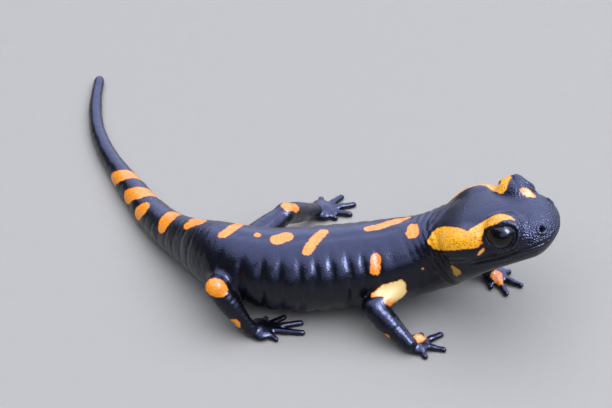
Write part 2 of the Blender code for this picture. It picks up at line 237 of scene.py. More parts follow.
def body_places(points, at):
    """Each point's place along the spine, its side and its height over it."""
    for _ in range(2):
        point, forward, _, _ = spine(at)
        at = np.clip(at - np.einsum("ij,ij->i", points - point, forward), -6, LENGTH + 4)
    point, _, left, up = spine(at)
    away = points - point
    return at, np.einsum("ij,ij->i", away, left), np.einsum("ij,ij->i", away, up)


def unit(way):
    """The same direction at length 1."""
    return way / np.linalg.norm(way)


def smooth_step(low, high, value):
    """A soft rise from 0 to 1 between two values."""
    t = np.clip((value - low) / (high - low), 0, 1)
    return t * t * (3 - 2 * t)


def ridge(value, width):
    """A rounded bump that is 1 at 0 and fades out over a width."""
    return np.exp(-((value / width) ** 2))


def waver(points, size, seed):
    """A soft irregular swell between -1 and 1, with bumps of about a given size."""
    rng = np.random.default_rng(seed)
    total = np.zeros(len(points))
    for _ in range(4):
        way = unit(rng.normal(size=3))
        pitch = 2 * math.pi / (size * rng.uniform(1.5, 2.5))
        total += np.sin(points @ way * pitch + rng.uniform(0, 6.28))
    return total / 2.6


def blend(a, b, softness):
    """The smaller of two gaps, with a soft valley where they are alike."""
    share = np.clip(0.5 + 0.5 * (b - a) / softness, 0, 1)
    return b + (a - b) * share - softness * share * (1 - share)


def trim(a, b, softness):
    """The larger of two gaps, with a rounded edge where they are alike."""
    return -blend(-a, -b, softness)


def ball_gap(away, size):
    """How far a point is outside a ball with three radii, along the line to its middle."""
    share = np.maximum(np.linalg.norm(away / np.array(size), axis=-1), 1e-6)
    return np.linalg.norm(away, axis=-1) * (1 - 1 / share)


def trunk_gap(at, side, up):
    """How far a place is outside head, trunk and tail, with the domes over the eyes and the neck glands."""
    nose = np.maximum(1 - at / SNOUT_ROUND, 0)
    tip = np.maximum(1 - (LENGTH - at) / TIP_ROUND, 0)
    power = np.where(up > 0, SQUARE_ABOVE(at), SQUARE_BELOW(at))
    tall = np.where(up > 0, ABOVE(at), BELOW(at))
    reach = (np.abs(side / HALF_WIDTH(at)) ** power + np.abs(up / tall) ** power) ** (1 / power)
    whole = np.maximum(np.sqrt(reach**2 + nose**2.3 + tip**2), 1e-6)
    span = np.sqrt(side**2 + up**2 + (nose * SNOUT_ROUND) ** 2 + (tip * TIP_ROUND) ** 2)
    gap = span * (1 - 1 / whole)
    for hand in (-1, 1):
        for dome_at, out, over, size, softness in HEAD_DOMES:
            dome = ball_gap(np.stack([at - dome_at, side - hand * out, up - over], 1), size)
            gap = blend(gap, dome, softness)
    return gap


def tube_gap(points, start, end, radii, wrinkle=0.0):
    """How far a point is outside a tapered rod, which may have faint rings round it."""
    start, end = np.array(start, float), np.array(end, float)
    way = end - start
    length = np.linalg.norm(way)
    share = np.clip((points - start) @ way / length**2, 0, 1)
    away = np.linalg.norm(points - start - share[:, None] * way, axis=1)
    rings = np.cos(2 * math.pi * share * length / LIMB_RING_STEP)
    rings *= smooth_step(0.02, 0.2, share) * smooth_step(1.0, 0.85, share)
    return away - radii(share) + wrinkle * rings


def digits(limb):
    """Where each finger or toe starts, inside the palm or sole, and where its tip is."""
    x, y, turn = limb["palm"]
    for direction, reach in limb["digits"]:
        aim = math.radians(turn + direction)
        way = np.array([math.cos(aim), math.sin(aim), 0])
        yield (x, y, DIGIT_ROOT_UP) + way * 0.6, (x, y, DIGIT_TIP_UP) + way * (reach - 0.4)


def limb_gap(points, limb, wrinkle):
    """How far a point is outside one limb with its hand or foot."""
    root, middle, end = limb["joints"]
    upper, lower = limb["radii"]
    gap = blend(tube_gap(points, root, middle, upper), tube_gap(points, middle, end, lower, wrinkle), 0.5)
    x, y, turn = limb["palm"]
    cos, sin = math.cos(math.radians(turn)), math.sin(math.radians(turn))
    ahead, across = np.array([cos, sin, 0]), np.array([-sin, cos, 0])
    palm = np.array([x, y, PALM_UP])
    away = points - palm
    wrist = tube_gap(points, end, palm + np.array([0, 0, 0.15]), WRIST_RADII)
    away = np.stack([away @ ahead - 0.15, away @ across, away[:, 2]], 1)
    pad = ball_gap(away, (PALM_LENGTH, limb["width"], 0.86))
    hand = blend(wrist, pad, 0.6)
    for start, tip in digits(limb):
        hand = blend(hand, tube_gap(points, start, tip, DIGIT_RADII), 0.3)
    return blend(gap, hand, 0.4)


# ---------------- the eyes and their lids


def eye_seats():
    """Each eye's middle and radius from its packed eyeball, the way it looks and the way its brow leans."""
    seats = {}
    for hand, side in (("right", -1), ("left", 1)):
        low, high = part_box(f"eye_{hand}")
        _, forward, left, up = (v[0] for v in spine(EYE_AT))
        out = left * side
        seats[hand] = {
            "middle": np.array((low + high) / 2) / MM,
            "radius": (high.z - low.z) / 2 / MM,
            "gaze": unit(0.13 * forward + 0.87 * out + 0.49 * up),
            "brow": unit(-0.16 * forward - 0.63 * out + 0.75 * up),
        }
    return seats


SEATS = eye_seats()
OPENING = math.radians(62)  # half the angle of the lids' opening, seen from the eye's middle
BROW_CUT = math.radians(19)  # where the upper lid cuts across the opening


def lid_places(points, seat):
    """How far a point is from the eye's middle and outside the lids' opening, and its upper lid's share."""
    away = points - seat["middle"]
    reach = np.maximum(np.linalg.norm(away, axis=1), 1e-6)
    way = away / reach[:, None]
    round_edge = (np.arccos(np.clip(way @ seat["gaze"], -1, 1)) - OPENING) * seat["radius"]
    brow_edge = (np.arcsin(np.clip(way @ seat["brow"], -1, 1)) - BROW_CUT) * seat["radius"]
    return reach, trim(round_edge, brow_edge, 0.8), smooth_step(-0.9, 0.9, brow_edge - round_edge)


def lids(points, gap, fine):
    """Adds rolled lid margins round each eyeball and opens the skin over it."""
    for seat in SEATS.values():
        near = np.linalg.norm(points - seat["middle"], axis=1) < seat["radius"] + 3.2
        if not near.any():
            continue
        reach, edge, upper = lid_places(points[near], seat)
        radius = seat["radius"]
        roll = 0.17 + 0.16 * upper
        margin = np.hypot(reach - radius - 0.08 - 0.1 * upper, edge - roll) - roll
        close = blend(gap[near], margin, 0.4 + 0.4 * upper)
        if fine:
            lower = 1 - upper
            fold = 0.05 * ridge(edge - 1.35, 0.2) * upper
            for deep, out, width in ((0.10, 0.62, 0.13), (0.07, 1.1, 0.14), (0.05, 1.6, 0.16)):
                fold += deep * ridge(edge - out, width) * lower
            close += fold * smooth_step(radius + 1.4, radius + 0.7, reach)
        open_lids = np.maximum(np.maximum(edge, radius - 0.14 - reach), reach - radius - 1.3)
        gap[near] = trim(close, -open_lids, 0.1)
    return gap


# ---------------- folds, grooves and creases

GROOVE_FIRST, GROOVE_STEP, GROOVES = 27.7, 2.3, 10
GROOVE_DEPTH, GROOVE_WIDTH, RIB_SWELL = 0.26, 0.32, 0.05
NOSTRIL_AT, NOSTRIL_SIDE, NOSTRIL_UP = 1.7, 3.0, 1.9
NOSTRIL_RADIUS, NOSTRIL_DEPTH = 0.36, 0.75
MOUTH_DEPTH = 0.34
TAIL_RING_FIRST, TAIL_RING_STEP, TAIL_RING_LAST = 53.6, 2.2, 101.0
TAIL_RING_DEPTH = 0.028  # as a share of the tail's half width
LIMB_RING_STEP, LIMB_RING_DEPTH = 0.85, 0.016
THROAT_FOLD_AT = 17.6
NECK_WRINKLES = ((17.2, 0.17), (18.3, 0.2), (19.4, 0.2), (20.6, 0.17), (21.9, 0.14), (23.3, 0.1))


def before_jaw_corner(at):
    """1 over the length of the mouth, fading out behind the jaw's corner."""
    return smooth_step(JAW_CORNER_AT + 0.9, JAW_CORNER_AT - 0.6, at)


def head_folds(points, at, side, up, turn):
    """Mouth, nostrils, hollows round the eyes, the crease under each gland and the neck's loose folds."""
    depth = np.zeros(len(points))
    sway = waver(points, 2.5, 3)

    # The mouth runs round the front of the snout to the jaw's corner, and its upper lip overhangs a little.
    mouth = up - MOUTH_UP(at) - 0.04 * sway
    lips = 0.16 * ridge(mouth - 0.45, 0.25) + 0.06 * ridge(mouth + 0.45, 0.3)
    depth += before_jaw_corner(at) * (MOUTH_DEPTH * ridge(mouth, 0.17) - lips)
    corner = up - 0.85 - 0.12 * (at - 15) - 0.15 * sway
    depth += 0.16 * ridge(corner, 0.2) * smooth_step(11.8, 13.2, at) * smooth_step(18.2, 17.2, at)

    for hand in (-1, 1):
        across = side - hand * NOSTRIL_SIDE
        away = np.sqrt((at - NOSTRIL_AT) ** 2 + across**2 + (up - NOSTRIL_UP) ** 2)
        depth += NOSTRIL_DEPTH * np.exp(-((away / NOSTRIL_RADIUS) ** 4)) - 0.32 * ridge(away - 0.6, 0.2)
        depth += 0.05 * ridge(at - 6.9, 2.0) * ridge(side - hand * 1.7, 0.7) * (up > 0)
        depth += 0.13 * ridge(at - 3.9, 0.8) * ridge(side - hand * 3.6, 1.0) * (up > 0)
        away = np.stack([at - GLAND_AT, side - hand * GLAND_SIDE, up - GLAND_UP], 1)
        away = ball_gap(away, (4.5, 2.4, 2.7))
        depth += 0.07 * ridge(away, 0.3) * smooth_step(62, 76, turn) * smooth_step(8.6, 10.2, at)

    # The skin fold across the throat, and wrinkles over the neck that slant back from the crown.
    fold = at - THROAT_FOLD_AT - 0.7 * smooth_step(150, 70, turn) + 0.2 * sway
    depth += (0.28 * ridge(fold, 0.3) - 0.1 * ridge(fold - 0.65, 0.45)) * smooth_step(70, 92, turn)
    wrinkle = at + 0.28 * np.abs(side) + 0.25 * waver(points, 3.2, 8)
    breaks = 0.7 + 0.3 * waver(points, 2.1, 9)
    for middle, deep in NECK_WRINKLES:
        depth += deep * ridge(wrinkle - middle, 0.3) * smooth_step(118, 80, turn) * breaks
    slant = at - 16.2 + 0.75 * side - 0.1 * sway
    depth += (0.2 * ridge(slant, 0.26) - 0.08 * ridge(slant - 0.6, 0.4)) * ridge(side + 0.1, 2.2) * (up > 0)
    return depth


def trunk_folds(points, at, side, up, turn):
    """Grooves between the ribs, strongest low on the flank, and a faint furrow along the back."""
    depth = 0.09 * ridge(side, 0.7) * smooth_step(22, 26, at) * smooth_step(56, 50, at) * (up > 0)
    far = 13.0 * (side > 0)  # degrees further round on the left
    strength = smooth_step(20 + far, 56 + far, turn) * smooth_step(160, 128, turn)
    sway = at - 0.1 * waver(points, 3.0, 20)
    for i in range(GROOVES):
        away = sway - GROOVE_FIRST - GROOVE_STEP * i - 0.12 * math.sin(i * 2.3)
        swell_out = RIB_SWELL * ridge(np.abs(away) - GROOVE_STEP / 2, 0.75)
        depth += strength * (GROOVE_DEPTH * ridge(away, GROOVE_WIDTH) - swell_out)
    return depth


def tail_folds(points, at, side, up, turn):
    """Rings round the tail, closer together towards its tip."""
    depth = np.zeros(len(points))
    sway = at - 0.08 * waver(points, 2.4, 24)
    share = 0.35 + 0.65 * smooth_step(20, 70, turn)
    middle, step = TAIL_RING_FIRST, TAIL_RING_STEP
    while middle < TAIL_RING_LAST:
        depth += TAIL_RING_DEPTH * float(HALF_WIDTH(middle)) * ridge(sway - middle, 0.26) * share
        middle, step = middle + step, step * 0.985
    return depth


STRETCHES = ((-9, 24.5, head_folds), (20, 58, trunk_folds), (51, 120, tail_folds))


def fold_depth(points, at, side, up, skin):
    """How deep each fold and groove presses into the skin; a swelling counts as less than nothing."""
    turn = np.degrees(np.arctan2(np.abs(side), up))  # 0 on the back, 90 on the flank, 180 on the belly
    rough = smooth_step(7, 13, at) * smooth_step(14, 19, at) + 0.35
    depth = rough * (0.010 * waver(points, 0.62, 33) + 0.016 * waver(points, 1.5, 34))
    depth += 0.03 * waver(points, 3.0, 31) * smooth_step(16, 21, at)
    for low, high, folds in STRETCHES:
        near = (at > low) & (at < high)
        depth[near] += folds(points[near], at[near], side[near], up[near], turn[near])
    return depth * smooth_step(0.9, 0.35, np.abs(skin))


def skin_gap(points, at, fine=False):
    """How far each point is outside the skin of the whole animal, which stands on the floor at height 0."""
    at, side, up = body_places(points, at)
    gap = trunk_gap(at, side, up)
    if fine:
        gap += fold_depth(points, at, side, up, gap)
    gap = lids(points, gap, fine)
    for limb in LIMBS.values():
        _, middle, end = (np.array(joint) for joint in limb["joints"])
        near = np.linalg.norm(points - (middle + 2 * end) / 3, axis=1) < 14
        if near.any():
            close = limb_gap(points[near], limb, LIMB_RING_DEPTH if fine else 0.0)
            if fine:
                close += 0.03 * waver(points[near], 1.2, 41) + 0.015 * waver(points[near], 0.6, 42)
            gap[near] = blend(gap[near], close, 0.9)
    return trim(gap, -points[:, 2], 0.05)


def settle(points, at, rounds, fine=False):
    """Moves points straight onto the skin, by its own slope."""
    probe, longest_move = 0.015, 0.35
    for i in range(rounds):
        gap = skin_gap(points, at, fine)
        if i % 2 == 0:
            beside = [skin_gap(points + probe * axis, at, fine) for axis in np.eye(3)]
            slope = (np.stack(beside, 1) - gap[:, None]) / probe
            steep = np.maximum(np.einsum("ij,ij->i", slope, slope), 0.04)
        move = -slope * (gap / steep)[:, None]
        size = np.linalg.norm(move, axis=1, keepdims=True)
        points = points + move * np.minimum(1, longest_move / np.maximum(size, 1e-9)) * 0.95
    points[:, 2] = np.maximum(points[:, 2], 0)
    return points


# ---------------- the skin's mesh


def stretches():
    """Places swollen while the skin is meshed, so that they get finer faces: middle, reach, factor."""
    point, _, _, up = (v[0] for v in spine(6.3))
    places = [(point + up * 0.4, 8.8, 1.8)]
    for seat in SEATS.values():
        places.append((seat["middle"], 3.0, 1.5))
    point, _, left, up = (v[0] for v in spine(NOSTRIL_AT))
    for hand in (-1, 1):
        places.append((point + left * hand * NOSTRIL_SIDE + up * NOSTRIL_UP, 1.0, 1.5))
    return places


def swell(points, places):
    """Moves points outwards from each swollen place, and tells where the places themselves went."""
    moved = []
    for middle, reach, factor in places:
        for centre, extent, growth in moved:
            middle = push(middle[None], centre, extent, growth)[0]
            if np.linalg.norm(middle - centre) < extent * growth:
                reach *= growth
        points = push(points, middle, reach, factor)
        moved.append((middle, reach, factor))
    return points, moved


def push(points, middle, reach, factor):
    """Swells everything within reach of a middle and shifts the rest outwards."""
    away = points - middle
    size = np.maximum(np.linalg.norm(away, axis=1), 1e-9)
    grown = np.where(size < reach, size * factor, size + reach * (factor - 1))
    return middle + away * (grown / size)[:, None]


def add_body_form(form):
    """A plain tapered body from snout to tail: one circle, extruded from station to station."""
    stations = np.concatenate([[0.25, 0.9, 1.8, 3.0], np.arange(4.2, LENGTH - 1, 1.4), [LENGTH - 0.5]])
    before = None
    for at in stations:
        point, forward, left, up = (Vector(v[0]) for v in spine(at))
        nose, tip = max(1 - at / SNOUT_ROUND, 0), max(1 - (LENGTH - at) / TIP_ROUND, 0)
        shrink = math.sqrt(max(1 - nose**2.3, 0.05)) * math.sqrt(max(1 - tip**2, 0.05))
        wide, over, under = (float(f(at)) * shrink for f in (HALF_WIDTH, ABOVE, BELOW))
        turn = Matrix((left, up, forward)).transposed().to_4x4()
        here = Matrix.Translation(point + up * (over - under) / 2) @ turn
        here = here @ Matrix.Diagonal((wide, (over + under) / 2, 1, 1))
        if before is None:
            ring = bmesh.ops.create_circle(form, segments=28, radius=1.0)["verts"]
            bmesh.ops.transform(form, matrix=here, verts=ring)
            edges = list({e for v in ring for e in v.link_edges})
            bmesh.ops.edgeloop_fill(form, edges=edges)
        else:
            grown = bmesh.ops.extrude_edge_only(form, edges=edges)["geom"]
            ring = {g for g in grown if isinstance(g, bmesh.types.BMVert)}
            edges = [g for g in grown if isinstance(g, bmesh.types.BMEdge) and ring.issuperset(g.verts)]
            bmesh.ops.transform(form, matrix=here @ before.inverted(), verts=list(ring))
        before = here
    bmesh.ops.edgeloop_fill(form, edges=edges)


def add_rod_form(form, start, end, near, far):
    """A tapered rod with round ends between two points."""
    start, end = Vector(start), Vector(end)
    turn = (end - start).to_track_quat("Z", "Y").to_matrix().to_4x4()
    place = Matrix.Translation((start + end) / 2) @ turn
    length = (end - start).length
    bmesh.ops.create_cone(
        form, cap_ends=True, segments=12, radius1=near, radius2=far, depth=length, matrix=place
    )
    for point, radius in ((start, near), (end, far)):
        bmesh.ops.create_icosphere(form, subdivisions=2, radius=radius, matrix=Matrix.Translation(point))


def add_head_forms(form):
    """Balls for the domes over the eyes and for the neck glands."""
    for side in (-1, 1):
        for at, out, over, size, _ in HEAD_DOMES:
            point, forward, left, up = (Vector(v[0]) for v in spine(at))
            turn = Matrix((forward, left, up)).transposed().to_4x4()
            place = Matrix.Translation(point + left * side * out + up * over) @ turn
            place = place @ Matrix.Diagonal((*size, 1))
            bmesh.ops.create_icosphere(form, subdivisions=3, radius=1.0, matrix=place)


def add_limb_forms(form, limb):
    """Rods for one limb and its digits, and a flat ball for its palm or sole."""
    root, middle, end = limb["joints"]
    upper, lower = limb["radii"]
    add_rod_form(form, root, middle, float(upper(0)), float(upper(1)))
    add_rod_form(form, middle, end, float(lower(0.3)) * 0.97, float(lower(1)))
    x, y, turn = limb["palm"]
    place = Matrix.Translation((x, y, PALM_UP)) @ Matrix.Rotation(math.radians(turn), 4, "Z")
    place = place @ Matrix.Diagonal((PALM_LENGTH, limb["width"], 0.8, 1))
    bmesh.ops.create_icosphere(form, subdivisions=2, radius=1.0, matrix=place)
    add_rod_form(form, end, (x, y, 0.85), 0.9, 0.8)
    for start, tip in digits(limb):
        add_rod_form(form, start, tip, 0.5, 0.42)


def mesh_places(mesh):
    """A mesh's points as an array."""
    flat = np.zeros(len(mesh.vertices) * 3)
    mesh.vertices.foreach_get("co", flat)
    return flat.reshape(-1, 3)


def relax(mesh, points, rounds):
    """Evens out the spacing of a mesh's points."""
    mesh.vertices.foreach_set("co", points.ravel())
    form = bmesh.new()
    form.from_mesh(mesh)
    for _ in range(rounds):
        bmesh.ops.smooth_vert(
            form, verts=form.verts, factor=0.5, use_axis_x=True, use_axis_y=True, use_axis_z=True
        )
    form.to_mesh(mesh)
    form.free()
    return mesh_places(mesh)


def skin_mesh(name, face_size):
    """One closed skin over the whole animal, with faces of about a given size, finer on the head."""
    form = bmesh.new()
    add_body_form(form)
    add_head_forms(form)
    for limb in LIMBS.values():
        add_limb_forms(form, limb)
    bmesh.ops.recalc_face_normals(form, faces=form.faces)
    rough = bpy.data.meshes.new(f"{name}_rough")
    form.to_mesh(rough)
    form.free()
    places, moved = swell(mesh_places(rough), stretches())
    rough.vertices.foreach_set("co", places.ravel())
    rough.update()
    holder = bpy.data.objects.new(f"{name}_rough", rough)
    bpy.context.scene.collection.objects.link(holder)
    knit = holder.modifiers.new("one skin", "REMESH")
    knit.mode = "VOXEL"
    knit.voxel_size = face_size
    knit.adaptivity = 0.0
    bpy.context.view_layer.update()
    mesh = bpy.data.meshes.new_from_object(holder.evaluated_get(bpy.context.evaluated_depsgraph_get()))
    mesh.name = name
    bpy.data.objects.remove(holder)
    bpy.data.meshes.remove(rough)

    points = mesh_places(mesh)
    for middle, reach, factor in reversed(moved):
        points = push(points, middle, reach * factor, 1 / factor)
    at = nearest_along(points)
    points = settle(points, at, 4)
    for _ in range(3):
        points = relax(mesh, points, 2)
        points = settle(points, at, 2)
    at = nearest_along(points)
    points = settle(points, at, 6, fine=True)
    mesh.vertices.foreach_set("co", (points * MM).ravel())
    mesh.update()
    return mesh, points


# ---------------- the markings

# Each marking is a chain of round blots. A blot on the body is told by how far along the body it lies,
# how far round from the back (degrees, to the animal's right) and its radius, and one on a limb by its
# place and radius.
MARKINGS = {
    "right gland and lid": [
        (17.2, 47, 0.8), (15.9, 48, 1.75), (14.2, 52, 1.95), (12.6, 57, 1.75), (11.3, 62, 1.35),
        (10.3, 62, 1.4), (9.5, 55, 1.4), (8.6, 46, 1.25), (7.6, 41, 1.2), (6.8, 40, 1.1), (5.9, 39, 0.75),
        (4.9, 41, 0.25),
    ],
    "left gland and lid": [
        (17.0, -56, 0.6), (15.4, -60, 1.15), (13.6, -63, 1.5), (12.0, -66, 1.5), (10.6, -64, 1.2),
        (9.3, -54, 0.8), (8.2, -36, 0.6), (7.6, -32, 0.8), (7.4, -43, 0.9), (7.3, -56, 0.8),
    ],
    "left brow spot": [(4.85, -33, 0.5), (4.3, -38, 0.7), (3.9, -42, 0.6)],
    "right mouth corner": [(10.2, 84, 0.26), (9.4, 78, 0.28)],
    "left mouth corner": [(9.7, -77, 0.35)],
    "chin dot": [(1.3, 110, 0.14)],
    "neck": [(20.7, 2, 0.8), (20.8, 16, 1.0)],
    "shoulder stripe": [(28.5, -13, 0.6), (26.2, -16, 0.78), (23.8, -25, 0.8), (21.8, -35, 0.55)],
    "right flank": [(28.0, 44, 0.78), (28.4, 60, 0.82)],
    "left flank": [(30.5, -58, 0.9), (31.4, -76, 0.7)],
    "mid back": [(37.9, 22, 0.75), (36.7, 3, 0.83), (35.2, -16, 0.75)],
    "rear back": [(42.2, -1, 1.08), (41.0, -8, 1.12)],
    "left rear flank": [(43.5, -64, 1.0)],
    "loin speck": [(45.1, -8, 0.55)],
    "hip stripe": [(49.5, 9, 0.75), (49.2, -5, 0.8), (49.1, -21, 0.78), (49.3, -36, 0.65)],
    "hip speck": [(47.3, -46, 0.6)],
    "tail root": [(56.2, 8, 1.1), (54.9, -4, 1.15), (56.9, -14, 1.0)],
    "tail first": [(61.6, 38, 1.2), (61.9, 16, 1.5), (62.4, -8, 1.3)],
    "tail second": [(68.6, 62, 1.2), (68.3, 40, 1.3)],
    "tail third": [(73.4, 62, 1.15), (72.0, 8, 1.3), (71.4, -50, 1.1)],
    "tail fourth": [(78.9, 78, 1.1), (77.6, 20, 1.25), (76.3, -48, 1.1)],
    "right upper arm": [(8.7, -25.2, 7.0, 0.5), (10.4, -24.7, 7.5, 1.0), (12.4, -24.0, 7.9, 0.95)],
    "right upper arm's front": [(10.9, -25.4, 6.6, 1.1), (12.4, -24.3, 7.0, 1.1)],
    "right forearm": [(10.5, -29.5, 2.7, 0.6)],
    "right hand": [(15.5, -27.5, 1.4, 0.9), (15.0, -28.3, 1.7, 0.95)],
    "right knee": [(-13.8, -25.2, 8.6, 1.35), (-13.1, -25.5, 8.6, 1.3)],
    "right shank": [(-11.1, -26.9, 3.0, 1.0)],
    "left knee": [(-3.6, -7.6, 8.2, 1.0), (-2.6, -6.8, 7.6, 1.15)],
    "left upper arm": [(18.6, -11.0, 7.6, 1.1)],
    "left hand": [(26.9, -15.2, 1.4, 0.95), (27.3, -16.1, 1.0, 0.6)],
}
PORED = ("right gland and lid", "left gland and lid")
# Where patches are painted paler towards cream, partly their own lighter colour and partly a painted
# highlight on patches that face the light; and the dull ochre flecks low on the neck.
PALE_AND_HIGHLIGHT = {
    "left brow": [(4.3, -38, 0.7)],
    "mouth corner": [(9.9, 82, 0.5)],
    "right upper arm": [(9.9, -24.9, 7.3, 1.3), (12.2, -24.4, 7.4, 1.7)],
    "right hand": [(15.2, -28.0, 1.7, 0.9)],
}
DULL = {
    "throat": [(15.3, 96, 0.4), (15.1, 105, 0.75), (15.8, 112, 0.4)],
    "neck speck": [(20.9, 83, 0.25)],
}
PAINTED = ("orange_depth", "pored_depth", "pale_and_highlight_depth", "dull_depth", "grain", "nostril_painted_shade")
LID_RIM = 0.36  # width of the black rim round the lids' opening


def skin_place(at, turn):
    """The point on the skin at a distance behind the snout, turned from the back to the animal's right.
    It walks in from 8 mm out until it stands on the skin."""
    angle = math.radians(turn)
    side, up, reach = -math.sin(angle), math.cos(angle), 8.0
    for _ in range(60):
        reach -= 0.8 * float(trunk_gap(*(np.array([v]) for v in (at, side * reach, up * reach)))[0])
    point, _, left, upward = (v[0] for v in spine(at))
    return point + left * side * reach + upward * up * reach


def blot_depth(points, chain):
    """How far inside a chain of blots each point lies, in millimetres; less than nothing outside."""
    blots = [(skin_place(*blot[:2]) if len(blot) == 3 else np.array(blot[:3]), blot[-1]) for blot in chain]
    best = np.full(len(points), -9.0)
    for (start, near), (end, far) in list(zip(blots, blots[1:])) or [(blots[0], blots[0])]:
        way = end - start
        share = np.clip((points - start) @ way / max(way @ way, 1e-9), 0, 1)
        away = np.linalg.norm(points - start - share[:, None] * way, axis=1)
        best = np.maximum(best, near + (far - near) * share - away)
    return best


def paint(mesh, points):
    """Gives each point of the skin its depth in each kind of marking, its grain and its share inside the
    nostrils, where reflection is taken out as painted shade.
    """
    # The pale depth marks the patches' own paler colour and also a painted highlight.
    orange, pored, pale, dull = (
        np.maximum.reduce([blot_depth(points, chain) for chain in chains])
        for chains in (MARKINGS.values(), (MARKINGS[name] for name in PORED), PALE_AND_HIGHLIGHT.values(), DULL.values())
    )
    for seat in SEATS.values():
        reach, edge, _ = lid_places(points, seat)
        orange = np.where(reach < seat["radius"] + 1.2, np.minimum(orange, (edge - LID_RIM) * 1.5), orange)
    at, side, up = body_places(points, nearest_along(points))
    snout = smooth_step(9.5, 5.5, at) * (1 - 0.75 * ridge(side, 2.2) * smooth_step(2.5, 4.5, at) * (up > 0))
    lips = ridge(up - MOUTH_UP(at) + 0.1, 0.42) * before_jaw_corner(at)
    grain = np.clip(0.22 + 0.78 * snout, 0, 1) * (1 - 0.85 * lips)  # smooth lips
    # The share inside the nostrils, where the shader takes out reflection as painted shade.
    hole = np.sqrt((at - NOSTRIL_AT) ** 2 + (np.abs(side) - NOSTRIL_SIDE) ** 2 + (up - NOSTRIL_UP) ** 2)
    hole = smooth_step(0.47, 0.33, hole)
    for name, values in zip(PAINTED, (orange, pored, pale, dull, grain, hole)):
        layer = mesh.attributes.new(name, "FLOAT", "POINT")
        layer.data.foreach_set("value", np.clip(values, -2, 2).astype(np.float32))


# ---------------- materials


def linear(code):
    """A colour's sRGB hex code as linear red, green, blue and full alpha."""
    parts = [int(code[i : i + 2], 16) / 255 for i in (1, 3, 5)]
    return (*(c / 12.92 if c <= 0.04045 else ((c + 0.055) / 1.055) ** 2.4 for c in parts), 1.0)


def fill(tree, node, inputs):
    """Sets a node's inputs to values, or links them to other nodes' outputs."""
    for socket, value in inputs.items():
        if isinstance(value, bpy.types.NodeSocket):
            tree.links.new(value, node.inputs[socket])
        else:
            node.inputs[socket].default_value = value


def add(tree, kind, inputs=None, output=0, **settings):
    """Adds one shader node with its settings and its inputs' values or links; gives one of its outputs."""
    node = tree.nodes.new(f"ShaderNode{kind}")
    for name, value in settings.items():
        setattr(node, name, value)
    fill(tree, node, inputs or {})
    return node.outputs[output]


def per(size):
    """The pattern scale whose features are about a size in millimetres apart."""
    return 1 / (size * MM)


def new_material(name):
    """An empty material with its tree and its surface shader."""
    look = bpy.data.materials.new(name)
    look.use_nodes = True
    return look, look.node_tree, look.node_tree.nodes["Principled BSDF"]


LAYER = {"data_type": "RGBA", "output": 2}  # a Mix node that lays one colour over another


